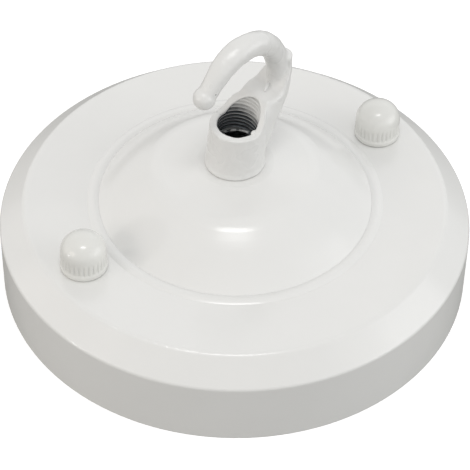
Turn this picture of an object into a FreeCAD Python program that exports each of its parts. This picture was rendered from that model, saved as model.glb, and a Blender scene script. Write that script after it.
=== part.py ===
"""Ceiling hook: a spun steel ceiling plate with a cast hook in its middle.

Sizes are in millimetres. The origin is the centre of the plate's rim, in the plane of the ceiling, and +Z
points away from the ceiling, towards the hook. The two dome nuts lie on the X axis.
"""
import FreeCAD, Part
import math
import os
from types import SimpleNamespace

import Sketcher

V = FreeCAD.Vector
doc = FreeCAD.newDocument("ceiling_hook")

# Driving dimensions
DIMENSIONS = {
    # ceiling plate, measured on the outside of its sheet
    "plate_radius": 53.5,
    "sheet": 1.0,
    "wall_height": 15.5,
    "bevel_width": 5.7,
    "bevel_rise": 5.15,
    "seat_radius": 8.6,
    "seat_height": 31.9,
    "seat_rise_share": 0.133,
    "platform_share": 0.434,
    "cone_bulge_share": 0.065,
    "rim_round": 0.8,
    "bevel_round": 1.6,
    "cone_round": 50.0,
    "platform_round": 9.0,
    "bead_inset": 7.8,
    "bead_half_width": 1.5,
    "bead_rise": 0.45,
    "bead_overlap": 0.7,
    # screws that carry the plate
    "screw_inset": 13.7,
    "screw_radius": 2.0,
    "screw_hole_clearance": 0.25,
    "thread_fit": 0.03,
    "screw_head_radius": 4.0,
    "screw_head_depth": 2.8,
    "screw_head_round": 0.8,
    "screw_slot_width": 1.0,
    "screw_slot_depth": 1.2,
    "screw_tip_gap": 0.7,
    "screw_nut_across": 7.0,
    "screw_nut_depth": 3.2,
    "nut_chamfer": 0.5,
    "nut_chamfer_lean": 30.0,
    # dome nuts
    "dome_nut_radius": 5.25,
    "dome_flange_depth": 1.1,
    "dome_grip_radius": 5.05,
    "dome_grip_depth": 3.0,
    "dome_height": 9.2,
    "dome_flutes": 30,
    "flute_radius": 0.36,
    "dome_bore_depth": 6.0,
    # threaded tube between the hook and the plate
    "tube_radius": 5.0,
    "tube_wall": 1.0,
    "tube_hole_clearance": 0.2,
    "tube_reach": 5.6,
    "tube_tail": 7.0,
    "tube_chamfer": 0.5,
    "tube_nut_across": 14.0,
    "tube_nut_depth": 3.0,
    "washer_radius": 7.8,
    "washer_depth": 0.8,
    "washer_notches": 12,
    "washer_notch_radius": 0.6,
    # strap screwed to the ceiling
    "strap_width": 18.0,
    "strap_sheet": 1.5,
    "strap_overhang": 6.2,
    "strap_step": 3.4,
    "strap_foot_inset": 9.8,
    "strap_crank": 45.0,
    "strap_corner": 3.0,
    "slot_inset": 18.8,
    "slot_radius": 2.3,
    "slot_travel": 5.4,
    "strap_hole_radius": 6.0,
    # hook casting: its socket
    "hook_turn": 9.0,
    "collar_radius": 6.9,
    "collar_depth": 0.5,
    "collar_slope": 0.9,
    "socket_foot_radius": 6.6,
    "socket_radius": 6.3,
    "socket_length": 11.4,
    "thread_depth": 0.4,
    "thread_runout": 0.4,
    # hook casting: the scooped mouth, level at the front, leaning back to a shelf and rising again to the ear
    "scoop_start": 0.6,
    "scoop_curve": 4.0,
    "scoop_lean": 46.0,
    "shelf_offset": 5.6,
    "shelf_curve": 1.5,
    "shelf_lean": 5.0,
    "rise_offset": 9.6,
    "rise_curve": 2.0,
    "rise_lean": 50.0,
    "ear_offset": 13.4,
    "ear_curve": 1.0,
    "tip_ball_radius": 2.5,
}

# Stations of the hook casting: offset in the plane of the hook, height above the mouth, lean from the vertical
# and radius. The arm's root is measured from the hook's seat on the plate instead.
ARM = {
    "arm_root": (2.0, 2.1, 14.0, 4.3),
    "arm_knee": (3.8, -3.5, 22.0, 5.3),
    "arm_waist": (6.5, 1.3, 33.0, 5.2),
    "arm_neck": (9.4, 4.9, 32.0, 4.5),
    "arm_shoulder": (11.7, 8.5, 20.0, 3.5),
    "arm_ear": (12.7, 12.2, 6.0, 2.6),
}
BEND = {
    "bend_root": (10.9, 3.3, 24.0, 2.1),
    "bend_shank": (12.3, 8.2, 6.0, 2.3),
    "bend_rise": (10.6, 14.9, -31.0, 2.5),
    "bend_crown": (4.2, 19.9, -73.0, 2.75),
    "bend_fall": (-3.7, 17.8, -126.0, 2.4),
    "bend_tail": (-7.2, 15.0, -143.0, 2.25),
    "bend_tip": (-9.55, 12.6, -148.0, 2.2),
}
for stations in (ARM, BEND):
    for station, place in stations.items():
        for what, amount in zip(("offset", "height", "lean", "radius"), place):
            DIMENSIONS[f"{station}_{what}"] = amount


class Size:
    """A number that also carries the expression that ties it to the spreadsheet."""

    def __init__(self, number, text):
        self.number = float(number)
        self.text = text

    def __add__(self, other):
        other = as_size(other)
        return Size(self.number + other.number, f"({self.text} + {other.text})")

    def __sub__(self, other):
        other = as_size(other)
        return Size(self.number - other.number, f"({self.text} - {other.text})")

    def __mul__(self, other):
        other = as_size(other)
        return Size(self.number * other.number, f"({self.text} * {other.text})")

    def __truediv__(self, other):
        other = as_size(other)
        return Size(self.number / other.number, f"({self.text} / {other.text})")

    def __neg__(self):
        return Size(-self.number, f"(0 - {self.text})")


def as_size(amount):
    return amount if isinstance(amount, Size) else Size(amount, str(amount))


def cosine(angle):
    return Size(math.cos(math.radians(angle.number)), f"cos({angle.text})")


def sine(angle):
    return Size(math.sin(math.radians(angle.number)), f"sin({angle.text})")


def tangent(angle):
    return Size(math.tan(math.radians(angle.number)), f"tan({angle.text})")


# Spreadsheet
sheet = doc.addObject("Spreadsheet::Sheet", "Sizes")
for row, (alias, amount) in enumerate(DIMENSIONS.items(), start=1):
    sheet.set(f"A{row}", alias)
    sheet.set(f"B{row}", str(amount))
    sheet.setAlias(f"B{row}", alias)
doc.recompute()
size = SimpleNamespace(**{alias: Size(sheet.get(alias), f"Sizes.{alias}") for alias in DIMENSIONS})

# Places that several pieces share
screw_offset = size.plate_radius - size.screw_inset
band_height = size.wall_height + size.bevel_rise
strap_end_top = size.strap_step + size.strap_sheet
seat_underside = size.seat_height - size.sheet
tube_top = size.seat_height + size.tube_reach
mouth_height = size.seat_height + size.socket_length


# Helpers for bodies and sketches
def new_body(label):
    body = doc.addObject("PartDesign::Body", label)
    body.Label = label
    return body


def bind(thing, path, amount):
    thing.setExpression(path, as_size(amount).text)


def origin_feature(body, role):
    return next(feature for feature in body.Origin.OriginFeatures if feature.Role == role)


def new_sketch(body, name, plane="XY_Plane", height=None):
    """A sketch on one of the body's own origin planes, raised by height."""
    sketch = body.newObject("Sketcher::SketchObject", name)
    sketch.AttachmentSupport = [(origin_feature(body, plane), "")]
    sketch.MapMode = "FlatFace"
    if height is not None:
        bind(sketch, "AttachmentOffset.Base.z", height)
    return sketch


def fix_point(sketch, item, end, across, up):
    """Ties one end of a sketch item to its distances from the sketch's origin."""
    for kind, amount, axis in (("DistanceX", as_size(across), -2), ("DistanceY", as_size(up), -1)):
        if amount.number == 0:
            sketch.addConstraint(Sketcher.Constraint("PointOnObject", item, end, axis))
        elif amount.number > 0:
            index = sketch.addConstraint(Sketcher.Constraint(kind, -1, 1, item, end, amount.number))
            sketch.setExpression(f"Constraints[{index}]", amount.text)
        else:
            index = sketch.addConstraint(Sketcher.Constraint(kind, item, end, -1, 1, -amount.number))
            sketch.setExpression(f"Constraints[{index}]", (-amount).text)


def draw_outline(sketch, corners):
    """A closed outline of straight lines through the corners."""
    points = [V(as_size(across).number, as_size(up).number, 0) for across, up in corners]
    first = sketch.GeometryCount
    for start, end in zip(points, points[1:] + points[:1]):
        sketch.addGeometry(Part.LineSegment(start, end))
    for step in range(len(points)):
        following = (step + 1) % len(points)
        sketch.addConstraint(Sketcher.Constraint("Coincident", first + step, 2, first + following, 1))
    for step, (across, up) in enumerate(corners):
        fix_point(sketch, first + step, 1, across, up)


def draw_circle(sketch, radius, across=0, up=0):
    centre = V(as_size(across).number, as_size(up).number, 0)
    item = sketch.addGeometry(Part.Circle(centre, V(0, 0, 1), radius.number))
    fix_point(sketch, item, 3, across, up)
    index = sketch.addConstraint(Sketcher.Constraint("Radius", item, radius.number))
    sketch.setExpression(f"Constraints[{index}]", radius.text)


def revolve(body, name, corners, kind="Revolution"):
    """A full turn about Z of an outline whose corners are radius and height."""
    sketch = new_sketch(body, f"{name}_outline", "XZ_Plane")
    draw_outline(sketch, corners)
    turned = body.newObject(f"PartDesign::{kind}", name)
    turned.Profile = (sketch, [""])
    turned.ReferenceAxis = (sketch, ["V_Axis"])
    turned.Angle = 360
    doc.recompute()
    return turned


def cut_up(body, name, sketch, depth=None):
    """A pocket that runs up from its sketch, by depth or all the way."""
    before = body.Shape.Volume
    pocket = body.newObject("PartDesign::Pocket", name)
    pocket.Profile = (sketch, [""])
    pocket.Reversed = True
    if depth is None:
        pocket.Type = "ThroughAll"
    else:
        bind(pocket, "Length", depth)
    doc.recompute()
    if not body.Shape.Volume < before:
        raise RuntimeError(f"{name} cuts nothing")
    return pocket


def round_edges(body, name, feature, radius, wanted):
    """A fillet on the circular edges whose radius and height are listed."""
    chosen = []
    for number, edge in enumerate(feature.Shape.Edges, start=1):
        if not isinstance(edge.Curve, Part.Circle):
            continue
        for edge_radius, height in wanted:
            same_radius = abs(edge.Curve.Radius - as_size(edge_radius).number) < 1e-3
            if same_radius and abs(edge.Curve.Center.z - as_size(height).number) < 1e-3:
                chosen.append(f"Edge{number}")
    if not chosen:
        raise RuntimeError(f"{name} finds no edge")
    fillet = body.newObject("PartDesign::Fillet", name)
    fillet.Base = (feature, chosen)
    bind(fillet, "Radius", radius)
    doc.recompute()
    return fillet


# Ceiling plate: spun from one disc, with a bevelled shoulder, a flat band, a bead and a raised platform
def make_ceiling_plate():
    body = new_body("ceiling_plate")
    band_radius = size.plate_radius - size.bevel_width
    bead_radius = screw_offset - size.bead_inset
    cone_foot_radius = bead_radius - size.bead_half_width + size.bead_overlap
    platform_radius = size.seat_radius + (cone_foot_radius - size.seat_radius) * size.platform_share
    crown_rise = size.seat_height - band_height
    platform_height = size.seat_height - crown_rise * size.seat_rise_share
    bulge_radius = (platform_radius + cone_foot_radius) / 2
    bulge_height = (platform_height + band_height) / 2 + crown_rise * size.cone_bulge_share
    blank = revolve(body, "blank", [
        (0, 0),
        (size.plate_radius, 0),
        (size.plate_radius, size.wall_height),
        (band_radius, band_height),
        (cone_foot_radius, band_height),
        (bulge_radius, bulge_height),
        (platform_radius, platform_height),
        (size.seat_radius, size.seat_height),
        (0, size.seat_height),
    ])
    shoulder = round_edges(body, "shoulder", blank, size.bevel_round, [(band_radius, band_height)])
    cone = round_edges(body, "cone_bulge", shoulder, size.cone_round, [(bulge_radius, bulge_height)])
    platform = round_edges(body, "platform_edge", cone, size.platform_round, [(platform_radius, platform_height)])
    shell = body.newObject("PartDesign::Thickness", "shell")
    underside = next(f"Face{number}" for number, face in enumerate(platform.Shape.Faces, start=1)
                     if abs(face.CenterOfMass.z) < 1e-6)
    shell.Base = (platform, [underside])
    shell.Reversed = True
    shell.Join = 1
    bind(shell, "Value", size.sheet)
    doc.recompute()
    rim = round_edges(body, "rim", shell, size.rim_round, [(size.plate_radius, size.wall_height)])

    press_bead(body, "bead", "Revolution", bead_radius, band_height)
    before = body.Shape.Volume
    press_bead(body, "bead_hollow", "Groove", bead_radius, band_height - size.sheet)
    if not body.Shape.Volume < before:
        raise RuntimeError("the bead's hollow cuts nothing")

    holes = new_sketch(body, "holes_outline")
    draw_circle(holes, size.tube_radius + size.tube_hole_clearance)
    screw_hole = size.screw_radius + size.screw_hole_clearance
    draw_circle(holes, screw_hole, screw_offset)
    draw_circle(holes, screw_hole, -screw_offset)
    cut_up(body, "holes", holes)
    return body


def press_bead(body, name, kind, radius, height):
    """A ring about Z whose section is the cap of a circle, bead_rise high over its chord."""
    half = size.bead_half_width
    arc_radius = (half * half + size.bead_rise * size.bead_rise) / (size.bead_rise * 2)
    centre_height = height + size.bead_rise - arc_radius
    swing = math.asin((half / arc_radius).number)
    sketch = new_sketch(body, f"{name}_outline", "XZ_Plane")
    centre = V(radius.number, centre_height.number, 0)
    circle = Part.Circle(centre, V(0, 0, 1), arc_radius.number)
    crest = sketch.addGeometry(Part.ArcOfCircle(circle, math.pi / 2 - swing, math.pi / 2 + swing))
    inner = V((radius - half).number, height.number, 0)
    outer = V((radius + half).number, height.number, 0)
    chord = sketch.addGeometry(Part.LineSegment(inner, outer))
    sketch.addConstraint(Sketcher.Constraint("Coincident", crest, 2, chord, 1))
    sketch.addConstraint(Sketcher.Constraint("Coincident", chord, 2, crest, 1))
    fix_point(sketch, chord, 1, radius - half, height)
    fix_point(sketch, chord, 2, radius + half, height)
    index = sketch.addConstraint(Sketcher.Constraint("Radius", crest, arc_radius.number))
    sketch.setExpression(f"Constraints[{index}]", arc_radius.text)
    ring = body.newObject(f"PartDesign::{kind}", name)
    ring.Profile = (sketch, [""])
    ring.ReferenceAxis = (sketch, ["V_Axis"])
    ring.Angle = 360
    doc.recompute()


# Strap: a cranked strip that is screwed to the ceiling and holds the two plate screws
def make_strap():
    body = new_body("mounting_strap")
    foot = screw_offset - size.strap_foot_inset
    end = screw_offset + size.strap_overhang
    step = size.strap_step
    run = step / tangent(size.strap_crank)
    thick = size.strap_sheet
    crease = thick * tangent(size.strap_crank / 2)
    side = new_sketch(body, "side_outline", "XZ_Plane")
    right = [
        (foot, 0),
        (foot + run, step),
        (end, step),
        (end, step + thick),
        (foot + run - crease, step + thick),
        (foot - crease, thick),
    ]
    left = [(-across, up) for across, up in reversed(right)]
    draw_outline(side, right + left)
    strip = body.newObject("PartDesign::Pad", "strip")
    strip.Profile = (side, [""])
    strip.Midplane = True
    bind(strip, "Length", size.strap_width)
    doc.recompute()

    corners = []
    for number, edge in enumerate(strip.Shape.Edges, start=1):
        upright = abs(edge.tangentAt(edge.FirstParameter).z) > 0.99
        if upright and abs(abs(edge.CenterOfMass.x) - end.number) < 1e-3:
            corners.append(f"Edge{number}")
    rounding = body.newObject("PartDesign::Fillet", "corners")
    rounding.Base = (strip, corners)
    bind(rounding, "Radius", size.strap_corner)
    doc.recompute()

    holes = new_sketch(body, "holes_outline")
    draw_circle(holes, size.strap_hole_radius)
    tapped = size.screw_radius + size.thread_fit
    draw_circle(holes, tapped, screw_offset)
    draw_circle(holes, tapped, -screw_offset)
    cut_up(body, "holes", holes)

    slot_offset = screw_offset - size.slot_inset
    for name, centre in (("right_slot", slot_offset), ("left_slot", -slot_offset)):
        outline = new_sketch(body, f"{name}_outline")
        half = size.slot_travel / 2
        draw_slot(outline, centre - half, centre + half, size.slot_radius)
        cut_up(body, name, outline)
    return body


def draw_slot(sketch, start, end, radius):
    """A round-ended slot along the sketch's X, between the centres of its ends."""
    left_centre = V(start.number, 0, 0)
    right_centre = V(end.number, 0, 0)
    lift = V(0, radius.number, 0)
    turn = math.pi / 2
    left = sketch.addGeometry(Part.ArcOfCircle(Part.Circle(left_centre, V(0, 0, 1), radius.number), turn, 3 * turn))
    right = sketch.addGeometry(Part.ArcOfCircle(Part.Circle(right_centre, V(0, 0, 1), radius.number), -turn, turn))
    low = sketch.addGeometry(Part.LineSegment(left_centre - lift, right_centre - lift))
    high = sketch.addGeometry(Part.LineSegment(right_centre + lift, left_centre + lift))
    for first, second in ((left, low), (low, right), (right, high), (high, left)):
        sketch.addConstraint(Sketcher.Constraint("Tangent", first, 2, second, 1))
    fix_point(sketch, left, 3, start, 0)
    fix_point(sketch, right, 3, end, 0)
    index = sketch.addConstraint(Sketcher.Constraint("Radius", left, radius.number))
    sketch.setExpression(f"Constraints[{index}]", radius.text)


# Plate screws: slotted round-headed machine screws, put in from behind the strap
def make_plate_screw(label, across):
    body = new_body(label)
    head_low = size.strap_step - size.screw_head_depth
    tip = band_height + size.dome_bore_depth - size.screw_tip_gap
    point = size.screw_radius / 4
    revolve(body, "turned", [
        (0, head_low),
        (size.screw_head_radius - size.screw_head_round, head_low),
        (size.screw_head_radius, head_low + size.screw_head_round),
        (size.screw_head_radius, size.strap_step),
        (size.screw_radius, size.strap_step),
        (size.screw_radius, tip - point),
        (size.screw_radius - point, tip),
        (0, tip),
    ])
    slot = new_sketch(body, "slot_outline", "XY_Plane", head_low)
    reach = size.screw_head_radius * 1.2
    half = size.screw_slot_width / 2
    draw_outline(slot, [(-reach, -half), (reach, -half), (reach, half), (-reach, half)])
    cut_up(body, "slot", slot, size.screw_slot_depth)
    bind(body, "Placement.Base.x", across)
    return body


# Hexagon nut with chamfered corners, standing on a given height
def make_hex_nut(label, across_flats, depth, bore, height, across=0):
    body = new_body(label)
    outer = across_flats / (cosine(size.nut_chamfer_lean) * 2)
    blank = body.newObject("PartDesign::AdditivePrism", "hexagon")
    blank.Polygon = 6
    bind(blank, "Circumradius", outer)
    bind(blank, "Height", depth)
    doc.recompute()
    chamfers = new_sketch(body, "chamfer_outline", "XZ_Plane")
    flat = across_flats / 2
    beyond = outer + size.nut_chamfer
    drop = (beyond - flat) * tangent(size.nut_chamfer_lean)
    draw_outline(chamfers, [(flat, depth), (beyond, depth - drop), (beyond, depth)])
    draw_outline(chamfers, [(flat, 0), (beyond, 0), (beyond, drop)])
    groove = body.newObject("PartDesign::Groove", "chamfers")
    groove.Profile = (chamfers, [""])
    groove.ReferenceAxis = (chamfers, ["V_Axis"])
    groove.Angle = 360
    doc.recompute()
    hole = new_sketch(body, "bore_outline")
    draw_circle(hole, bore)
    cut_up(body, "bore", hole)
    bind(body, "Placement.Base.x", across)
    bind(body, "Placement.Base.z", height)
    return body


# Dome nuts: a small flange, a fluted grip and a domed end over a blind bore
def make_dome_nut(label, across):
    body = new_body(label)
    grip_top = size.dome_flange_depth + size.dome_grip_depth
    crown = size.dome_height - grip_top
    ball = (crown * crown + size.dome_grip_radius * size.dome_grip_radius) / (crown * 2)
    ball_height = size.dome_height - ball
    start_angle = math.asin((grip_top - ball_height).number / ball.number)

    outline = new_sketch(body, "profile", "XZ_Plane")
    corners = [
        (as_size(0), as_size(0)),
        (size.dome_nut_radius, as_size(0)),
        (size.dome_nut_radius, size.dome_flange_depth),
        (size.dome_grip_radius, size.dome_flange_depth),
        (size.dome_grip_radius, grip_top),
    ]
    points = [V(radius.number, height.number, 0) for radius, height in corners]
    for start, end in zip(points, points[1:]):
        outline.addGeometry(Part.LineSegment(start, end))
    circle = Part.Circle(V(0, ball_height.number, 0), V(0, 0, 1), ball.number)
    dome = outline.addGeometry(Part.ArcOfCircle(circle, start_angle, math.pi / 2))
    axis = outline.addGeometry(Part.LineSegment(V(0, size.dome_height.number, 0), V(0, 0, 0)))
    chain = list(range(dome + 1)) + [axis, 0]
    for first, second in zip(chain, chain[1:]):
        outline.addConstraint(Sketcher.Constraint("Coincident", first, 2, second, 1))
    for item, (radius, height) in enumerate(corners[1:]):
        fix_point(outline, item, 2, radius, height)
    fix_point(outline, axis, 2, 0, 0)
    fix_point(outline, dome, 2, 0, size.dome_height)
    outline.addConstraint(Sketcher.Constraint("PointOnObject", dome, 3, -2))
    turned = body.newObject("PartDesign::Revolution", "turned")
    turned.Profile = (outline, [""])
    turned.ReferenceAxis = (outline, ["V_Axis"])
    turned.Angle = 360
    doc.recompute()

    bore = new_sketch(body, "bore_outline")
    draw_circle(bore, size.screw_radius + size.thread_fit)
    cut_up(body, "bore", bore, size.dome_bore_depth)

    flute = new_sketch(body, "flute_outline", "XY_Plane", size.dome_flange_depth)
    draw_circle(flute, size.flute_radius, size.dome_grip_radius)
    cut = cut_up(body, "flute", flute, size.dome_grip_depth)
    flutes = body.newObject("PartDesign::PolarPattern", "flutes")
    flutes.Originals = [cut]
    flutes.Axis = (origin_feature(body, "Z_Axis"), [""])
    flutes.Angle = 360
    bind(flutes, "Occurrences", size.dome_flutes)
    body.Tip = flutes
    bind(body, "Placement.Base.x", across)
    bind(body, "Placement.Base.z", band_height)
    return body


# Threaded tube: passes the cable, and joins the hook's socket to the plate
def make_threaded_tube():
    body = new_body("threaded_tube")
    low = size.seat_height - size.tube_tail
    ease = size.tube_chamfer
    revolve(body, "turned", [
        (size.tube_radius - size.tube_wall, low),
        (size.tube_radius - ease, low),
        (size.tube_radius, low + ease),
        (size.tube_radius, tube_top - ease),
        (size.tube_radius - ease, tube_top),
        (size.tube_radius - size.tube_wall, tube_top),
    ])
    return body


# Toothed lock washer under the plate
def make_lock_washer():
    body = new_body("lock_washer")
    low = seat_underside - size.washer_depth
    revolve(body, "disc", [
        (size.tube_radius + size.tube_hole_clearance, low),
        (size.washer_radius, low),
        (size.washer_radius, seat_underside),
        (size.tube_radius + size.tube_hole_clearance, seat_underside),
    ])
    outline = new_sketch(body, "notch_outline", "XY_Plane", low)
    draw_circle(outline, size.washer_notch_radius, size.washer_radius)
    notch = cut_up(body, "notch", outline)
    notches = body.newObject("PartDesign::PolarPattern", "notches")
    notches.Originals = [notch]
    notches.Axis = (origin_feature(body, "Z_Axis"), [""])
    notches.Angle = 360
    bind(notches, "Occurrences", size.washer_notches)
    body.Tip = notches
    return body


# Hook casting: a tapped socket whose mouth is scooped open for the cable, an arm and a tapering bend
def station_sketch(body, station, seam_turn):
    """A round section whose centre lies in the hook's plane and whose normal leans from Z towards X."""
    sketch = body.newObject("Sketcher::SketchObject", station)
    sketch.AttachmentSupport = [(origin_feature(body, "XY_Plane"), "")]
    sketch.MapMode = "FlatFace"
    sketch.AttachmentOffset = FreeCAD.Placement(V(0, 0, 0), FreeCAD.Rotation(V(0, 1, 0), 1))
    bind(sketch, "AttachmentOffset.Base.x", getattr(size, f"{station}_offset"))
    base = size.seat_height if station == "arm_root" else mouth_height
    bind(sketch, "AttachmentOffset.Base.z", base + getattr(size, f"{station}_height"))
    bind(sketch, "AttachmentOffset.Rotation.Angle", getattr(size, f"{station}_lean") + seam_turn)
    draw_circle(sketch, getattr(size, f"{station}_radius"))
    return sketch


def loft(body, name, stations, seam_turn=0):
    """A skin over round sections, whose seam runs along the outside or, turned by 180 degrees, the inside."""
    sections = [station_sketch(body, station, seam_turn) for station in stations]
    skin = body.newObject("PartDesign::AdditiveLoft", name)
    skin.Profile = (sections[0], [""])
    skin.Sections = [(section, [""]) for section in sections[1:]]
    skin.Refine = False
    doc.recompute()
    return skin


def draw_scoop(sketch):
    """What the mouth takes away, seen from the side: straight runs that lean more or less, with round corners."""
    clear = size.socket_radius * 2
    level = as_size(0)
    upright = as_size(90)
    shelf_height = mouth_height + (size.shelf_offset - size.scoop_start) * tangent(size.scoop_lean)
    rise_height = shelf_height + (size.rise_offset - size.shelf_offset) * tangent(size.shelf_lean)
    ear_foot = rise_height + (size.ear_offset - size.rise_offset) * tangent(size.rise_lean)
    turns = [
        (size.scoop_start, mouth_height, level, size.scoop_lean, size.scoop_curve),
        (size.shelf_offset, shelf_height, size.scoop_lean, size.shelf_lean, size.shelf_curve),
        (size.rise_offset, rise_height, size.shelf_lean, size.rise_lean, size.rise_curve),
        (size.ear_offset, ear_foot, size.rise_lean, upright, size.ear_curve),
    ]
    spots = [(-clear, mouth_height)]
    arcs = {}
    for across, up, before, after, radius in turns:
        side = 1 if after.number > before.number else -1
        reach = radius * tangent((after - before) / 2) * side
        start = (across - reach * cosine(before), up - reach * sine(before))
        centre = (start[0] - radius * sine(before) * side, start[1] + radius * cosine(before) * side)
        arcs[len(spots)] = (centre, radius, before, after, side)
        spots += [start, (across + reach * cosine(after), up + reach * sine(after))]
    spots += [(size.ear_offset, ear_foot + clear), (-clear, ear_foot + clear)]
    points = [V(across.number, up.number, 0) for across, up in spots]
    for item, point in enumerate(points):
        following = points[(item + 1) % len(points)]
        if item in arcs:
            centre, radius, before, after, side = arcs[item]
            circle = Part.Circle(V(centre[0].number, centre[1].number, 0), V(0, 0, 1), radius.number)
            first, last = sorted(math.radians(lean.number) - side * math.pi / 2 for lean in (before, after))
            sketch.addGeometry(Part.ArcOfCircle(circle, first, last))
        else:
            sketch.addGeometry(Part.LineSegment(point, following))
    for item in range(len(points)):
        following = (item + 1) % len(points)
        end = 1 if item in arcs and arcs[item][4] < 0 else 2
        start = 2 if following in arcs and arcs[following][4] < 0 else 1
        sketch.addConstraint(Sketcher.Constraint("Coincident", item, end, following, start))
        fix_point(sketch, item, 3 - end, *spots[item])
        if item in arcs:
            radius = arcs[item][1]
            index = sketch.addConstraint(Sketcher.Constraint("Radius", item, radius.number))
            sketch.setExpression(f"Constraints[{index}]", radius.text)


def make_hook():
    body = new_body("hook")
    slope_height = size.seat_height + size.collar_depth
    barrel_top = mouth_height + size.socket_radius
    revolve(body, "socket", [
        (0, size.seat_height),
        (size.collar_radius, size.seat_height),
        (size.collar_radius, slope_height),
        (size.socket_foot_radius, slope_height + size.collar_slope),
        (size.socket_radius, mouth_height),
        (size.socket_radius, barrel_top),
        (0, barrel_top),
    ])
    loft(body, "arm", ARM)

    scoop = new_sketch(body, "scoop_outline", "XZ_Plane")
    draw_scoop(scoop)
    before = body.Shape.Volume
    mouth = body.newObject("PartDesign::Pocket", "mouth")
    mouth.Profile = (scoop, [""])
    mouth.Midplane = True
    mouth.Type = "ThroughAll"
    doc.recompute()
    if not body.Shape.Volume < before:
        raise RuntimeError("the mouth cuts nothing")

    bore = new_sketch(body, "bore_outline", "XY_Plane", size.seat_height)
    draw_circle(bore, size.tube_radius - size.thread_depth)
    cut_up(body, "bore", bore)
    thread = new_sketch(body, "thread_outline", "XY_Plane", size.seat_height)
    draw_circle(thread, size.tube_radius + size.thread_fit)
    cut_up(body, "thread", thread, size.tube_reach + size.thread_runout)

    loft(body, "bend", BEND, 180)
    tip = body.newObject("PartDesign::AdditiveSphere", "tip")
    tip.AttachmentSupport = [(origin_feature(body, "XY_Plane"), "")]
    tip.MapMode = "FlatFace"
    bind(tip, "AttachmentOffset.Base.x", size.bend_tip_offset)
    bind(tip, "AttachmentOffset.Base.z", mouth_height + size.bend_tip_height)
    bind(tip, "Radius", size.tip_ball_radius)
    doc.recompute()
    body.Placement = FreeCAD.Placement(V(0, 0, 0), FreeCAD.Rotation(V(0, 0, 1), 1))
    bind(body, "Placement.Rotation.Angle", size.hook_turn)
    return body


# Assembly
screw_bore = size.screw_radius + size.thread_fit
pieces = [
    make_ceiling_plate(),
    make_strap(),
    make_threaded_tube(),
    make_lock_washer(),
    make_hex_nut("tube_nut", size.tube_nut_across, size.tube_nut_depth, size.tube_radius + size.thread_fit,
                 seat_underside - size.washer_depth - size.tube_nut_depth),
    make_hook(),
]
for hand, across in (("left", -screw_offset), ("right", screw_offset)):
    pieces.append(make_plate_screw(f"{hand}_plate_screw", across))
    pieces.append(make_hex_nut(f"{hand}_strap_nut", size.screw_nut_across, size.screw_nut_depth, screw_bore,
                               strap_end_top, across))
    pieces.append(make_dome_nut(f"{hand}_dome_nut", across))
doc.recompute()

# Every object must be sound before anything is written
for item in doc.Objects:
    if "Invalid" in item.State or "Error" in item.State:
        raise RuntimeError(f"{item.Label} failed: {item.State}")
for piece in pieces:
    if piece.Shape.isNull() or not piece.Shape.isValid():
        raise RuntimeError(f"{piece.Label} has no sound shape")

os.makedirs("parts", exist_ok=True)
for piece in pieces:
    piece.Shape.exportStep(f"parts/{piece.Label}.step")
    print(piece.Label, "solids", len(piece.Shape.Solids), "volume", round(piece.Shape.Volume, 1))
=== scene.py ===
import math

import bmesh
import bpy
from mathutils import Matrix, Quaternion, Vector


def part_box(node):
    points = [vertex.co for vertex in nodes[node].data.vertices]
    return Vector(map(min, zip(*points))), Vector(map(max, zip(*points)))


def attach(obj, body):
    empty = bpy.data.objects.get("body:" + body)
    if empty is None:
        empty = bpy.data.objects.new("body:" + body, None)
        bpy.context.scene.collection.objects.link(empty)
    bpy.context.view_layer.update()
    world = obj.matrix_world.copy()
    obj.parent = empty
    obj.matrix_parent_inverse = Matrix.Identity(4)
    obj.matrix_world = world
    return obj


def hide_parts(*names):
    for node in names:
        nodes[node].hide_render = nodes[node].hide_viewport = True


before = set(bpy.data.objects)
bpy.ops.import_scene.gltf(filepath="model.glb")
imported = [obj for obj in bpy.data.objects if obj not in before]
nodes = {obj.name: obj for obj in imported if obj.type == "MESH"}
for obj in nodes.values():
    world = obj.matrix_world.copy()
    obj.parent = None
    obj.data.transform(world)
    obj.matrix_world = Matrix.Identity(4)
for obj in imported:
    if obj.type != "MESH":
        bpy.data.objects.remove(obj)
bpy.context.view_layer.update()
mm = 0.001
print("frame loaded:", len(nodes), "nodes")


# camera, fitted to the plate's rim and nuts; the aim is a point of the ceiling plane
camera = {
    "azimuth": 34.32,      # degrees from +Y towards +X
    "elevation": 44.87,
    "roll": 0.963,
    "distance": 506.39 * mm,
    "aim": (4.964 * mm, 7.072 * mm, 0),
    "lens": 164.13,
    "sensor": 36,
}


def makeCamera():
    azimuth = math.radians(camera["azimuth"])
    elevation = math.radians(camera["elevation"])
    level = math.cos(elevation)
    forward = Vector((math.sin(azimuth) * level, math.cos(azimuth) * level, -math.sin(elevation)))
    data = bpy.data.cameras.new("photoCamera")
    data.lens = camera["lens"]
    data.sensor_width = camera["sensor"]
    data.clip_start = 10 * mm
    body = bpy.data.objects.new("photoCamera", data)
    bpy.context.scene.collection.objects.link(body)
    body.location = Vector(camera["aim"]) - forward * camera["distance"]
    body.rotation_mode = "QUATERNION"
    body.rotation_quaternion = (forward.to_track_quat("-Z", "Y")
                                @ Quaternion((0, 0, 1), math.radians(camera["roll"])))
    bpy.context.scene.camera = body


makeCamera()
print("camera placed")


# materials
def hexColour(text):
    channels = [int(text[place:place + 2], 16) / 255 for place in (1, 3, 5)]
    straight = [c / 12.92 if c <= 0.04045 else ((c + 0.055) / 1.055) ** 2.4 for c in channels]
    return (*straight, 1)


def addNode(tree, kind, settings=None, links=None):
    node = tree.nodes.new(kind)
    for name, value in (settings or {}).items():
        if isinstance(name, int) or name in node.inputs:
            node.inputs[name].default_value = value
        else:
            setattr(node, name, value)
    for name, socket in (links or {}).items():
        tree.links.new(socket, node.inputs[name])
    return node


def newMaterial(name):
    material = bpy.data.materials.new(name)
    material.use_nodes = True
    material.node_tree.nodes.clear()
    return material, material.node_tree


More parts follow.
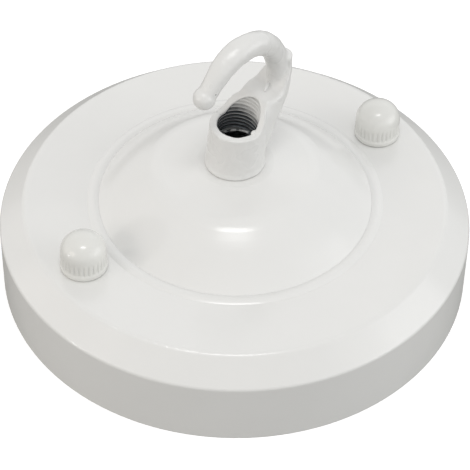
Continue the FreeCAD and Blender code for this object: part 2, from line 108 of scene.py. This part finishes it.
def perMetre(size):
    return 1 / (size * mm)


paint = {
    "plate": {"light": "#E8E8E6", "dull": "#E3E3E1", "roughness": 0.19, "peel": 0.9, "peelDepth": 0.004},
    "nut": {"light": "#E3E3DF", "dull": "#DEDEDA", "roughness": 0.2, "peel": 0.7, "peelDepth": 0.004},
    "cast": {"light": "#E6E6E4", "dull": "#DEDEDC", "roughness": 0.28, "peel": 1.3, "peelDepth": 0.03},
    "patch": 14,           # mm, size of the faint tone patches
    "grain": 0.25,         # mm, fine grain of the dried coat
    "grainDepth": 0.002,
    "nib": 5,              # mm between dust nibs under the paint
    "nibDepth": 0.02,
    "softEdge": 0.25,      # mm, how far the paint rounds an edge
    "chipColour": "#4A4B48",
}
# pinholes in the casting's coat: place and radius in mm
chips = {
    "underTail": ((-7.72, -3.47, 57.59), 0.2),
    "mouthEdge": ((-1.41, 4.38, 43.1), 0.2),
    "besideMouth": ((-1.62, 5.27, 43.31), 0.12),
}


# white stoving enamel, sprayed and baked: even and semi-gloss, with faint orange peel and a dust nib here
# and there
def makePaint(name, finish):
    look = paint[finish]
    material, tree = newMaterial(name)
    place = addNode(tree, "ShaderNodeTexCoord").outputs["Object"]
    patches = addNode(tree, "ShaderNodeTexNoise", {"Scale": perMetre(paint["patch"]), "Detail": 3},
                      {"Vector": place})
    tone = addNode(tree, "ShaderNodeMix", {"data_type": "RGBA", 6: hexColour(look["dull"]),
                                           7: hexColour(look["light"])}, {0: patches.outputs[0]})
    colour = tone.outputs[2]
    for centre, radius in (chips.values() if finish == "cast" else ()):
        away = addNode(tree, "ShaderNodeVectorMath", {"operation": "DISTANCE", 1: [c * mm for c in centre]},
                       {0: place})
        inside = addNode(tree, "ShaderNodeMapRange",
                         {"From Min": radius * 0.6 * mm, "From Max": radius * mm, "To Min": 1, "To Max": 0},
                         {"Value": away.outputs["Value"]})
        chipped = addNode(tree, "ShaderNodeMix", {"data_type": "RGBA", 7: hexColour(paint["chipColour"])},
                          {0: inside.outputs[0], 6: colour})
        colour = chipped.outputs[2]
    peel = addNode(tree, "ShaderNodeTexNoise", {"Scale": perMetre(look["peel"]), "Detail": 2},
                   {"Vector": place})
    grain = addNode(tree, "ShaderNodeTexNoise", {"Scale": perMetre(paint["grain"]), "Detail": 1},
                    {"Vector": place})
    nibs = addNode(tree, "ShaderNodeTexVoronoi", {"Scale": perMetre(paint["nib"])}, {"Vector": place})
    nibTop = addNode(tree, "ShaderNodeMapRange",
                     {"From Min": 0, "From Max": 0.04, "To Min": 1, "To Max": 0},
                     {"Value": nibs.outputs["Distance"]})
    gloss = addNode(tree, "ShaderNodeMapRange", {"To Min": look["roughness"] - 0.04,
                                                 "To Max": look["roughness"] + 0.04},
                    {"Value": patches.outputs[0]})
    edge = addNode(tree, "ShaderNodeBevel", {"samples": 4, "Radius": paint["softEdge"] * mm})
    peelBump = addNode(tree, "ShaderNodeBump", {"Strength": 1, "Distance": look["peelDepth"] * mm},
                       {"Height": peel.outputs[0], "Normal": edge.outputs[0]})
    grainBump = addNode(tree, "ShaderNodeBump", {"Strength": 0.5, "Distance": paint["grainDepth"] * mm},
                        {"Height": grain.outputs[0], "Normal": peelBump.outputs[0]})
    nibBump = addNode(tree, "ShaderNodeBump", {"Strength": 1, "Distance": paint["nibDepth"] * mm},
                      {"Height": nibTop.outputs[0], "Normal": grainBump.outputs[0]})
    shader = addNode(tree, "ShaderNodeBsdfPrincipled", {"IOR": 1.5},
                     {"Base Color": colour, "Roughness": gloss.outputs[0], "Normal": nibBump.outputs[0]})
    addNode(tree, "ShaderNodeOutputMaterial", None, {"Surface": shader.outputs[0]})
    return material


zinc = {
    "light": "#C4C7CA",
    "dull": "#A4A7AB",
    "roughness": 0.34,
    "crystal": 1.6,        # mm, size of the zinc's patches
    "rolling": 0.12,       # mm, spacing of the sheet's rolling marks
    "rollingDepth": 0.004,
    "softEdge": 0.1,       # mm, how far the plate rounds an edge
}


# bright zinc plate over mild steel: cool grey, satin, with faint patches and rolling marks
def makeZinc():
    material, tree = newMaterial("brightZincPlate")
    place = addNode(tree, "ShaderNodeTexCoord").outputs["Object"]
    patches = addNode(tree, "ShaderNodeTexVoronoi", {"Scale": perMetre(zinc["crystal"])}, {"Vector": place})
    tone = addNode(tree, "ShaderNodeMix", {"data_type": "RGBA", 6: hexColour(zinc["dull"]),
                                           7: hexColour(zinc["light"])}, {0: patches.outputs["Color"]})
    stretched = addNode(tree, "ShaderNodeMapping", {"Scale": (0.05, 1, 1)}, {"Vector": place})
    marks = addNode(tree, "ShaderNodeTexNoise", {"Scale": perMetre(zinc["rolling"]), "Detail": 2},
                    {"Vector": stretched.outputs[0]})
    gloss = addNode(tree, "ShaderNodeMapRange", {"To Min": zinc["roughness"] - 0.08,
                                                 "To Max": zinc["roughness"] + 0.08},
                    {"Value": marks.outputs[0]})
    edge = addNode(tree, "ShaderNodeBevel", {"samples": 4, "Radius": zinc["softEdge"] * mm})
    bump = addNode(tree, "ShaderNodeBump", {"Strength": 0.4, "Distance": zinc["rollingDepth"] * mm},
                   {"Height": marks.outputs[0], "Normal": edge.outputs[0]})
    shader = addNode(tree, "ShaderNodeBsdfPrincipled", {"Metallic": 1},
                     {"Base Color": tone.outputs[2], "Roughness": gloss.outputs[0],
                      "Normal": bump.outputs[0]})
    addNode(tree, "ShaderNodeOutputMaterial", None, {"Surface": shader.outputs[0]})
    return material


tapped = {
    # steel colours of the grooves: oily cut steel, made darker still as painted shade in the depth of the bore
    "light": "#5C6064",
    "dull": "#17191B",
    "crest": "#C0C4C6",    # rubbed bright by the tap, and lighter still as a painted highlight on the crests
    "roughness": 0.42,
    "smear": 1.2,          # mm, size of the oily smears
    "sprayAndLightLow": 42.6,      # mm above the ceiling: below this the grooves are bare steel in painted shade
    "crestSprayAndHighlightLow": 36.5, # the white of the spray and of the painted highlight reaches further down on the crests
    "sprayAndLightFull": 46.0,     # above this the white covers it: the spray, and painted light on the upper wall
    "ragged": 1.6,         # mm, width and depth of the ragged tongues of white between them
    "raggedDepth": 2.4,
    "lean": (0.42, -0.28, 1),    # the white reaches further down on the +X side, the wall lit from the left: painted light
    "mistRoughness": 0.4,
}


# thread cut in steel: dark low down, oily steel and painted shade deep in the bore; white near the mouth, the
# spray and painted light on the upper wall
def makeTapped(name, light, dull, sprayAndLightLow):
    material, tree = newMaterial(name)
    place = addNode(tree, "ShaderNodeTexCoord").outputs["Object"]
    smears = addNode(tree, "ShaderNodeTexNoise", {"Scale": perMetre(tapped["smear"]), "Detail": 4},
                     {"Vector": place})
    tone = addNode(tree, "ShaderNodeMix", {"data_type": "RGBA", 6: hexColour(dull), 7: hexColour(light)},
                   {0: smears.outputs[0]})
    gloss = addNode(tree, "ShaderNodeMapRange", {"To Min": tapped["roughness"] - 0.1,
                                                 "To Max": tapped["roughness"] + 0.15},
                    {"Value": smears.outputs[0]})
    steel = addNode(tree, "ShaderNodeBsdfPrincipled", {"Metallic": 1},
                    {"Base Color": tone.outputs[2], "Roughness": gloss.outputs[0]})
    sprayAndPaintedLight = addNode(tree, "ShaderNodeBsdfPrincipled",
                   {"IOR": 1.5, "Base Color": hexColour(paint["cast"]["dull"]),
                    "Roughness": tapped["mistRoughness"]})
    # height is taken along lean, so the white reaches lower on the lit +X wall: painted light
    height = addNode(tree, "ShaderNodeVectorMath", {"operation": "DOT_PRODUCT", 1: tapped["lean"]},
                     {0: place}).outputs["Value"]
    tongues = addNode(tree, "ShaderNodeTexNoise", {"Scale": perMetre(tapped["ragged"]), "Detail": 3},
                      {"Vector": place})
    ragged = addNode(tree, "ShaderNodeMath", {"operation": "MULTIPLY_ADD", 1: tapped["raggedDepth"] * mm},
                     {0: tongues.outputs[0], 2: height})
    half = tapped["raggedDepth"] / 2
    cover = addNode(tree, "ShaderNodeMapRange", {"From Min": (sprayAndLightLow + half) * mm,
                                                 "From Max": (tapped["sprayAndLightFull"] + half) * mm},
                    {"Value": ragged.outputs[0]})
    # white above, steel below: painted light on the upper wall, painted shade deep in the bore
    shader = addNode(tree, "ShaderNodeMixShader", None,
                     {0: cover.outputs[0], 1: steel.outputs[0], 2: sprayAndPaintedLight.outputs[0]})
    addNode(tree, "ShaderNodeOutputMaterial", None, {"Surface": shader.outputs[0]})
    return material


sprayAndHighlightEnd = {
    "from": 37.3,          # mm above the ceiling, just under the tube's end
    "patch": 1.4,
    "cover": 0.47,         # share of the noise above which the end is white
    "roughness": 0.35,
}


# the same zinc on the threaded tube, whose end in the hook's mouth has white patches: some spray, and a
# painted highlight on the end's ring
def makeZincWithSprayAndHighlight():
    material = makeZinc()
    material.name = "brightZincTubeWithSprayAndPaintedHighlightAtItsEnd"
    tree = material.node_tree
    output = tree.nodes["Material Output"]
    metal = output.inputs[0].links[0].from_socket
    place = addNode(tree, "ShaderNodeTexCoord").outputs["Object"]
    height = addNode(tree, "ShaderNodeSeparateXYZ", None, {0: place}).outputs["Z"]
    end = addNode(tree, "ShaderNodeMath", {"operation": "GREATER_THAN", 1: sprayAndHighlightEnd["from"] * mm},
                  {0: height})
    patches = addNode(tree, "ShaderNodeTexNoise", {"Scale": perMetre(sprayAndHighlightEnd["patch"]), "Detail": 2},
                      {"Vector": place})
    whiteSpots = addNode(tree, "ShaderNodeMapRange", {"From Min": sprayAndHighlightEnd["cover"] - 0.03,
                                                 "From Max": sprayAndHighlightEnd["cover"] + 0.03},
                    {"Value": patches.outputs[0]})
    cover = addNode(tree, "ShaderNodeMath", {"operation": "MULTIPLY"},
                    {0: end.outputs[0], 1: whiteSpots.outputs[0]})
    # white over the end: the spray, and a painted highlight on the ring
    sprayAndPaintedLight = addNode(tree, "ShaderNodeBsdfPrincipled",
                   {"IOR": 1.5, "Roughness": sprayAndHighlightEnd["roughness"],
                    "Base Color": hexColour(paint["cast"]["light"])})
    both = addNode(tree, "ShaderNodeMixShader", None, {0: cover.outputs[0], 1: metal, 2: sprayAndPaintedLight.outputs[0]})
    tree.links.new(both.outputs[0], output.inputs[0])
    return material


finishes = {
    "platePaint": makePaint("whiteStovingEnamel", "plate"),
    "nutPaint": makePaint("whiteEnamelOnTurnedNut", "nut"),
    "castPaint": makePaint("whiteEnamelOnCasting", "cast"),
    "zinc": makeZinc(),
    "zincWithSprayAndHighlight": makeZincWithSprayAndHighlight(),
    "tapped": makeTapped("oilySteelGrooveInPaintedShade", tapped["light"], tapped["dull"], tapped["sprayAndLightLow"]),
    "crest": makeTapped("cutSteelCrestWithPaintedHighlight", tapped["crest"], tapped["light"], tapped["crestSprayAndHighlightLow"]),
}
print("materials made:", len(finishes))


def giveMaterial(piece, material):
    piece.data.materials.clear()
    piece.data.materials.append(material)


# the CAD nodes that stay
kept = {
    "ceiling_plate": "platePaint",
    "mounting_strap": "zinc",
    "threaded_tube": "zincWithSprayAndHighlight",
    "lock_washer": "zinc",
    "tube_nut": "zinc",
    "left_plate_screw": "zinc",
    "right_plate_screw": "zinc",
    "left_strap_nut": "zinc",
    "right_strap_nut": "zinc",
}
for node, finish in kept.items():
    giveMaterial(nodes[node], finishes[finish])
print("CAD nodes finished:", len(kept))


# small helpers for modelling by hand
def startAlone():
    if bpy.context.object and bpy.context.object.mode != "OBJECT":
        bpy.ops.object.mode_set(mode="OBJECT")
    bpy.ops.object.select_all(action="DESELECT")


def pick(piece):
    startAlone()
    piece.select_set(True)
    bpy.context.view_layer.objects.active = piece


def settle(piece):
    # its place goes into its mesh
    pick(piece)
    bpy.ops.object.transform_apply(location=True, rotation=True, scale=True)


def applyModifier(piece, kind, **settings):
    pick(piece)
    modifier = piece.modifiers.new(kind.lower(), kind)
    for name, value in settings.items():
        setattr(modifier, name, value)
    bpy.ops.object.modifier_apply(modifier=modifier.name)


def selectVertices(piece, test):
    # in edit mode, selects the vertices whose place passes the test
    mesh = bmesh.from_edit_mesh(piece.data)
    mesh.select_mode = {"VERT"}
    for vertex in mesh.verts:
        vertex.select = test(vertex.co)
    mesh.select_flush_mode()
    bmesh.update_edit_mesh(piece.data)


# hook casting
hook = {
    "turn": 9.0,           # degrees, plane of the hook from X
    "voxel": 0.2,          # mm
    "evenPasses": 5,
    "creasePasses": 16,    # softening of the creases where arm, socket and bend run together
    "tubeRadius": 5.08,    # room for the threaded tube
    "tubeTop": 37.6,
    "pocketRadius": 5.02,  # room for the thread
    "mouthRadius": 4.56,   # the lip of paint over the thread
    "lip": 0.5,
    "boreTop": 49.6,
    "mouthHeight": 43.3,
    "scoopStart": 0.6,
    "scoopLean": 46.0,
    "boreLean": 4.5,       # degrees, the tap went in a little askew
    "leanToward": (0.83, -0.56, 0),
    "footShift": -0.2,     # mm along leanToward, how far the socket leans at its foot and at its mouth
    "mouthLean": 0.35,
    "leanEnd": 50,
    "lump": 2.2,           # mm, size of the casting's lumps
    "lumpHeight": 0.2,
    "footGap": 0.35,       # mm, the casting's foot is rounded under, so a dark line shows
    "rodSides": 128,
    "scoopTop": 60,
    "scoopWidth": 40,
    "smoothAngle": 50,
}
# runs of paint: middle, direction and half sizes in mm
runs = {
    "saddle": ((8.6, 1.1, 49.0), (1.81, 1.32, 0.36), (1.5, 0.42, 0.6)),
    "mouthEdge": ((1.35, -4.75, 43.3), (1.0, 0.3, 0.2), (0.75, 0.5, 0.4)),
}
# pushes that give the casting its uneven thickness: offset in the hook's plane and height of the middle,
# reach, side that it takes hold of, and distance, in mm
pushes = {
    "fall": ((-3, 62.5), 7, (-0.36, 0.81, 0.47), 0.6),
    "fallTop": ((0.5, 64.5), 4, (-0.36, 0.81, 0.47), 0.25),
    "bowlSide": ((9.2, 54.6), 3.4, (-0.83, 0.3, 0), 0.55),
    "ear": ((15.0, 55.4), 2.3, (0.6, 0.3, 0.74), 0.6),
    "armFoot": ((9.5, 42.5), 6.5, (0.83, -0.56, 0), -0.5),
}


def alongHook(place):
    # offset in the plane of the hook and across it, in mm
    angle = math.radians(hook["turn"])
    along = (place.x * math.cos(angle) + place.y * math.sin(angle)) / mm
    across = (-place.x * math.sin(angle) + place.y * math.cos(angle)) / mm
    return along, across, place.z / mm


def nearCrease(place):
    along, across, height = alongHook(place)
    joint = along > 4.5 and 34 < height < 44
    saddle = 5.5 < along < 12.5 and 45 < height < 52
    return joint or saddle


def smoothStep(share):
    share = min(1, max(0, share))
    return share * share * (3 - 2 * share)


def pushCasting(piece):
    toward = Vector(hook["leanToward"])
    foot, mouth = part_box("hook")[0].z / mm, hook["mouthHeight"]
    normals = [vertex.normal.copy() for vertex in piece.data.vertices]
    for vertex, normal in zip(piece.data.vertices, normals):
        along, across, height = alongHook(vertex.co)
        if height < mouth:
            share = (height - foot) / (mouth - foot)
            lean = hook["footShift"] + (hook["mouthLean"] - hook["footShift"]) * share
        else:
            lean = hook["mouthLean"] * (1 - smoothStep((height - mouth) / (hook["leanEnd"] - mouth)))
        vertex.co += toward * lean * mm
        if height < foot + hook["footGap"]:
            tuck = (foot + hook["footGap"] - height) / math.hypot(along, across)
            vertex.co.x *= 1 - tuck
            vertex.co.y *= 1 - tuck
        for middle, reach, side, distance in pushes.values():
            near = smoothStep(1 - math.hypot(along - middle[0], height - middle[1]) / reach)
            if near > 0:
                facing = Vector(side)
                vertex.co += facing * (near * smoothStep(normal.dot(facing) * 1.5) * distance * mm)


def leanBore(piece):
    # turns a cutter or the thread about the end of the tube
    pivot = Matrix.Translation((0, 0, hook["tubeTop"] * mm))
    axis = Vector((0, 0, 1)).cross(Vector(hook["leanToward"]))
    piece.matrix_world = (pivot @ Matrix.Rotation(math.radians(hook["boreLean"]), 4, axis)
                          @ pivot.inverted() @ piece.matrix_world)
    settle(piece)


def addRun(piece, middle, direction, size):
    # a drop of paint, drawn out
    startAlone()
    bpy.ops.mesh.primitive_uv_sphere_add(segments=32, ring_count=16, radius=mm)
    run = bpy.context.object
    run.scale = size
    run.rotation_mode = "QUATERNION"
    run.rotation_quaternion = Vector(direction).to_track_quat("X", "Z")
    run.location = [c * mm for c in middle]
    settle(run)
    applyModifier(piece, "BOOLEAN", object=run, operation="UNION", solver="EXACT")
    bpy.data.objects.remove(run)


def makeRod(radius, low, high):
    startAlone()
    bpy.ops.mesh.primitive_cylinder_add(vertices=hook["rodSides"], radius=radius * mm, depth=(high - low) * mm,
                                        location=(0, 0, (high + low) / 2 * mm))
    rod = bpy.context.object
    settle(rod)
    return rod


def makeScoop(drop):
    # the space above the scooped mouth, let down by drop
    startAlone()
    top = hook["scoopTop"] * mm
    bottom = (hook["mouthHeight"] - drop) * mm
    bpy.ops.mesh.primitive_cube_add(size=1, location=(0, 0, (top + bottom) / 2))
    scoop = bpy.context.object
    scoop.scale = (hook["scoopWidth"] * mm, hook["scoopWidth"] * mm, top - bottom)
    settle(scoop)
    lean = math.radians(hook["scoopLean"])
    bpy.ops.object.mode_set(mode="EDIT")
    bpy.ops.mesh.select_all(action="SELECT")
    bpy.ops.mesh.bisect(plane_co=(hook["scoopStart"] * mm, 0, bottom),
                        plane_no=(math.sin(lean), 0, -math.cos(lean)), use_fill=True, clear_outer=True)
    bpy.ops.object.mode_set(mode="OBJECT")
    scoop.rotation_euler = (0, 0, math.radians(hook["turn"]))
    settle(scoop)
    return scoop


def cutAway(piece, cutter):
    applyModifier(piece, "BOOLEAN", object=cutter, operation="DIFFERENCE", solver="EXACT")
    bpy.data.objects.remove(cutter)


def makeHook():
    piece = bpy.data.objects.new("hookCasting", nodes["hook"].data.copy())
    bpy.context.scene.collection.objects.link(piece)
    pick(piece)
    bpy.ops.object.mode_set(mode="EDIT")
    bpy.ops.mesh.select_all(action="SELECT")
    bpy.ops.mesh.remove_doubles(threshold=0.001 * mm)
    bpy.ops.object.mode_set(mode="OBJECT")
    applyModifier(piece, "REMESH", mode="VOXEL", voxel_size=hook["voxel"] * mm)
    pushCasting(piece)
    applyModifier(piece, "REMESH", mode="VOXEL", voxel_size=hook["voxel"] * mm)
    bpy.ops.object.mode_set(mode="EDIT")
    bpy.ops.mesh.select_all(action="SELECT")
    bpy.ops.mesh.vertices_smooth(factor=0.5, repeat=hook["evenPasses"])
    selectVertices(piece, nearCrease)
    bpy.ops.mesh.vertices_smooth(factor=0.5, repeat=hook["creasePasses"])
    bpy.ops.object.mode_set(mode="OBJECT")
    lumps = bpy.data.textures.new("castingLumps", "CLOUDS")
    lumps.noise_scale = hook["lump"] * mm
    lumps.noise_depth = 1
    applyModifier(piece, "DISPLACE", texture=lumps, texture_coords="LOCAL", mid_level=0.5,
                  strength=hook["lumpHeight"] * mm)

    # the bore is cut again, so that its edge stays crisp
    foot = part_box("hook")[0].z / mm
    cutAway(piece, makeRod(hook["tubeRadius"], foot - 4, hook["tubeTop"]))
    mouth = makeRod(hook["mouthRadius"], hook["tubeTop"] - 1, hook["boreTop"])
    leanBore(mouth)
    cutAway(piece, mouth)
    pocket = makeRod(hook["pocketRadius"], hook["tubeTop"] - 0.5, hook["boreTop"])
    leanBore(pocket)
    cutAway(pocket, makeScoop(hook["lip"]))
    cutAway(piece, pocket)
    for run in runs.values():
        addRun(piece, *run)
    pick(piece)
    bpy.ops.object.shade_smooth_by_angle(angle=math.radians(hook["smoothAngle"]))
    giveMaterial(piece, finishes["castPaint"])
    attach(piece, "root")
    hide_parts("hook")
    return piece


hookPiece = makeHook()
print("hook casting made:", len(hookPiece.data.polygons), "faces")


# thread in the hook's socket, above the threaded tube
thread = {
    "pitch": 1.0,          # mm, an M10 x 1 thread
    "root": 5.06,
    "crest": 4.48,
    "crestWidth": 0.26,
    "start": 37.9,
    "turns": 11,
    "steps": 96,
    "smoothAngle": 35,
}


def makeThread():
    startAlone()
    bpy.ops.mesh.primitive_plane_add(size=1)
    piece = bpy.context.object
    piece.name = "socketThread"
    bpy.ops.object.mode_set(mode="EDIT")
    mesh = bmesh.from_edit_mesh(piece.data)
    mesh.faces.ensure_lookup_table()
    half = thread["pitch"] * 0.49
    corners = [(thread["root"], -half), (thread["crest"], -thread["crestWidth"] / 2),
               (thread["crest"], thread["crestWidth"] / 2), (thread["root"], half)]
    ring = list(mesh.faces[0].verts)
    for vertex, (radius, height) in zip(ring, corners):
        vertex.co = Vector((radius * mm, 0, (height + thread["start"]) * mm))
    bmesh.update_edit_mesh(piece.data)
    bpy.ops.object.mode_set(mode="OBJECT")
    settle(piece)
    applyModifier(piece, "SCREW", angle=math.radians(360), screw_offset=thread["pitch"] * mm,
                  iterations=thread["turns"], steps=thread["steps"], render_steps=thread["steps"])
    bpy.ops.object.mode_set(mode="EDIT")
    bpy.ops.mesh.select_all(action="SELECT")
    bpy.ops.mesh.remove_doubles(threshold=0.001 * mm)
    bpy.ops.mesh.fill_holes(sides=0)
    bpy.ops.mesh.normals_make_consistent(inside=False)
    bpy.ops.object.mode_set(mode="OBJECT")
    giveMaterial(piece, finishes["tapped"])
    piece.data.materials.append(finishes["crest"])
    # the crests take the lighter steel: worn bright by the tap, and a painted highlight against the painted
    # shade of the grooves
    for face in piece.data.polygons:
        onCrest = math.hypot(face.center.x, face.center.y) < (thread["crest"] + 0.05) * mm
        face.material_index = 1 if onCrest else 0
    leanBore(piece)
    cutAway(piece, makeScoop(hook["lip"]))
    pick(piece)
    bpy.ops.object.shade_smooth_by_angle(angle=math.radians(thread["smoothAngle"]))
    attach(piece, "root")
    return piece


threadPiece = makeThread()
print("thread made:", len(threadPiece.data.polygons), "faces")


# dome nuts
domeNut = {
    "flutes": 30,
    "perFlute": 8,
    "bore": 2.03,
    "boreDepth": 6.0,
    "flange": 5.25,
    "grip": 5.13,
    "gripTop": 4.8,
    "height": 9.2,
    "flute": 0.2,          # mm, depth of a flute
    "domeRings": 12,
    "smoothAngle": 40,
    # rings of the flange: height, and how far it lies inside the flange's radius
    "flangeRings": [(0, 0.55), (0.12, 0.32), (0.28, 0.13), (0.5, 0), (1.2, 0), (1.35, 0.02)],
    # heights of the rings of the grip, close together where the flutes begin
    "gripRings": [1.65, 1.85, 2.1, 2.6, 3.2, 3.8, 4.3],
}


def nextRing(height, radius, before):
    # extrudes the ring in hand to a new height and radius
    bpy.ops.mesh.extrude_edges_move(TRANSFORM_OT_translate={"value": (0, 0, (height - before[0]) * mm)})
    scale = radius / before[1]
    bpy.ops.transform.resize(value=(scale, scale, 1), center_override=(0, 0, height * mm))
    return height, radius


def makeDomeNut():
    startAlone()
    bpy.ops.mesh.primitive_circle_add(vertices=domeNut["flutes"] * domeNut["perFlute"],
                                      radius=domeNut["bore"] * mm, fill_type="NOTHING")
    piece = bpy.context.object
    bpy.ops.object.mode_set(mode="EDIT")
    bpy.ops.mesh.select_all(action="SELECT")
    at = (0, domeNut["bore"])
    grip, gripTop, flange = domeNut["grip"], domeNut["gripTop"], domeNut["flange"]
    profile = [(height, flange - inside) for height, inside in domeNut["flangeRings"]]
    profile.append((1.5, grip + 0.04))
    profile += [(height, grip) for height in domeNut["gripRings"]]
    profile.append((gripTop, grip - 0.01))
    for height, radius in profile:
        at = nextRing(height, radius, at)
    crown = domeNut["height"] - gripTop
    for ring in range(1, domeNut["domeRings"]):
        angle = math.pi / 2 * ring / domeNut["domeRings"]
        at = nextRing(gripTop + crown * math.sin(angle), (grip - 0.01) * math.cos(angle), at)
    rise = domeNut["height"] * mm - at[0] * mm
    bpy.ops.mesh.extrude_edges_move(TRANSFORM_OT_translate={"value": (0, 0, rise)})
    bpy.ops.mesh.merge(type="CENTER")

    # flutes: the middle of each is pressed in, and fades out at both ends of the grip
    mesh = bmesh.from_edit_mesh(piece.data)
    for vertex in mesh.verts:
        height = vertex.co.z / mm
        radius = math.hypot(vertex.co.x, vertex.co.y) / mm
        if 1.6 < height < gripTop - 0.05 and radius > grip - 0.1:
            angle = math.atan2(vertex.co.y, vertex.co.x)
            wave = max(0, math.cos(angle * domeNut["flutes"])) ** 1.5
            fade = min(1, (height - 1.5) / 0.35, (gripTop - height) / 1.1)
            scale = 1 - domeNut["flute"] * wave * fade / radius
            vertex.co.x *= scale
            vertex.co.y *= scale
    bmesh.update_edit_mesh(piece.data)

    # bore
    selectVertices(piece, lambda place: math.hypot(place.x, place.y) < (domeNut["bore"] + 0.01) * mm
                   and place.z < 0.001 * mm)
    nextRing(domeNut["boreDepth"], domeNut["bore"], (0, domeNut["bore"]))
    bpy.ops.mesh.extrude_edges_move(TRANSFORM_OT_translate={"value": (0, 0, 0)})
    bpy.ops.mesh.merge(type="CENTER")
    bpy.ops.mesh.select_all(action="SELECT")
    bpy.ops.mesh.remove_doubles(threshold=0.001 * mm)
    bpy.ops.mesh.normals_make_consistent(inside=False)
    bpy.ops.object.mode_set(mode="OBJECT")
    bpy.ops.object.shade_smooth_by_angle(angle=math.radians(domeNut["smoothAngle"]))
    giveMaterial(piece, finishes["nutPaint"])
    return piece


def placeNut(piece, name, node, turn):
    low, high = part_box(node)
    piece.name = name
    piece.rotation_euler = (0, 0, math.radians(turn))
    piece.location = ((low.x + high.x) / 2, (low.y + high.y) / 2, low.z)
    settle(piece)
    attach(piece, "root")
    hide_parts(node)


leftNut = makeDomeNut()
rightNut = bpy.data.objects.new("rightDomeNut", leftNut.data.copy())
bpy.context.scene.collection.objects.link(rightNut)
placeNut(leftNut, "leftDomeNut", "left_dome_nut", 0)
placeNut(rightNut, "rightDomeNut", "right_dome_nut", 5)
print("dome nuts made")


# stage and light
studio = {
    "floorSize": 4.0,
    "floorColour": "#F2F2F2",
    "floorGlow": 0.35,     # extra white that only the camera sees
    "floorBounce": "#9E9E9C",    # the darker paper that the object is lit by and mirrors
    "sky": 0.58,           # light from all round, against 1 for the white that the camera sees
}
# lamps: direction in degrees from the front of the part (0 is -Y) towards +X, distance, width and height
# in m, power in W
lamps = {
    "key": {"azimuth": -34, "elevation": 75, "distance": 1.2, "size": (0.5, 0.2), "power": 2.7,
            "colour": "#FFFFFF"},
    "left": {"azimuth": -90, "elevation": 25, "distance": 1.2, "size": (0.7, 0.45), "power": 2.0,
             "colour": "#FFF6EC"},
    "leftSpark": {"azimuth": -101, "elevation": 7, "distance": 1.2, "size": (0.1, 0.08), "power": 0.8,
                  "colour": "#FFFFFF"},
    "right": {"azimuth": 24, "elevation": 22, "distance": 1.2, "size": (1.0, 0.7), "power": 1.5,
              "colour": "#FFFFFF"},
    "leftFill": {"azimuth": -119, "elevation": 14, "distance": 1.2, "size": (1.0, 0.8), "power": 1.0,
                 "colour": "#FFF4E8"},
    "rightFill": {"azimuth": 46, "elevation": 14, "distance": 1.2, "size": (1.0, 0.8), "power": 3.2,
                  "colour": "#FFFFFF"},
    "backFill": {"azimuth": 146, "elevation": 36, "distance": 1.2, "size": (1.6, 0.8), "power": 1.4,
                 "colour": "#FFFFFF"},
}


def makeStage():
    startAlone()
    bpy.ops.mesh.primitive_plane_add(size=studio["floorSize"])
    floor = bpy.context.object
    floor.name = "floor"
    bpy.ops.object.mode_set(mode="EDIT")
    bpy.ops.mesh.subdivide(number_cuts=3)
    bpy.ops.object.mode_set(mode="OBJECT")
    settle(floor)
    material, tree = newMaterial("whitePaperFloor")
    paths = addNode(tree, "ShaderNodeLightPath")
    paper = addNode(tree, "ShaderNodeBsdfDiffuse", {"Color": hexColour(studio["floorColour"])})
    glow = addNode(tree, "ShaderNodeEmission", {"Strength": studio["floorGlow"]})
    lit = addNode(tree, "ShaderNodeAddShader", None, {0: paper.outputs[0], 1: glow.outputs[0]})
    bounce = addNode(tree, "ShaderNodeBsdfDiffuse", {"Color": hexColour(studio["floorBounce"])})
    both = addNode(tree, "ShaderNodeMixShader", None,
                   {0: paths.outputs["Is Camera Ray"], 1: bounce.outputs[0], 2: lit.outputs[0]})
    addNode(tree, "ShaderNodeOutputMaterial", None, {"Surface": both.outputs[0]})
    giveMaterial(floor, material)


def makeWorld():
    world = bpy.data.worlds.new("studio")
    bpy.context.scene.world = world
    world.use_nodes = True
    tree = world.node_tree
    tree.nodes.clear()
    paths = addNode(tree, "ShaderNodeLightPath")
    seen = addNode(tree, "ShaderNodeMath", {"operation": "MAXIMUM"},
                   {0: paths.outputs["Is Camera Ray"], 1: paths.outputs["Is Glossy Ray"]})
    strength = addNode(tree, "ShaderNodeMapRange", {"To Min": studio["sky"], "To Max": 1},
                       {"Value": seen.outputs[0]})
    sky = addNode(tree, "ShaderNodeBackground", {"Color": (1, 1, 1, 1)}, {"Strength": strength.outputs[0]})
    addNode(tree, "ShaderNodeOutputWorld", None, {"Surface": sky.outputs[0]})


def makeLamp(name, place):
    data = bpy.data.lights.new(name, "AREA")
    data.shape = "ELLIPSE"
    data.size, data.size_y = place["size"]
    data.energy = place["power"]
    data.color = hexColour(place["colour"])[:3]
    lamp = bpy.data.objects.new(name, data)
    bpy.context.scene.collection.objects.link(lamp)
    azimuth = math.radians(place["azimuth"])
    elevation = math.radians(place["elevation"])
    away = Vector((math.sin(azimuth) * math.cos(elevation), -math.cos(azimuth) * math.cos(elevation),
                   math.sin(elevation)))
    lamp.location = away * place["distance"]
    lamp.rotation_euler = away.to_track_quat("Z", "Y").to_euler()


makeStage()
makeWorld()
for lamp, place in lamps.items():
    makeLamp(lamp, place)
bpy.context.scene.view_settings.view_transform = "Standard"
print("stage and light made")
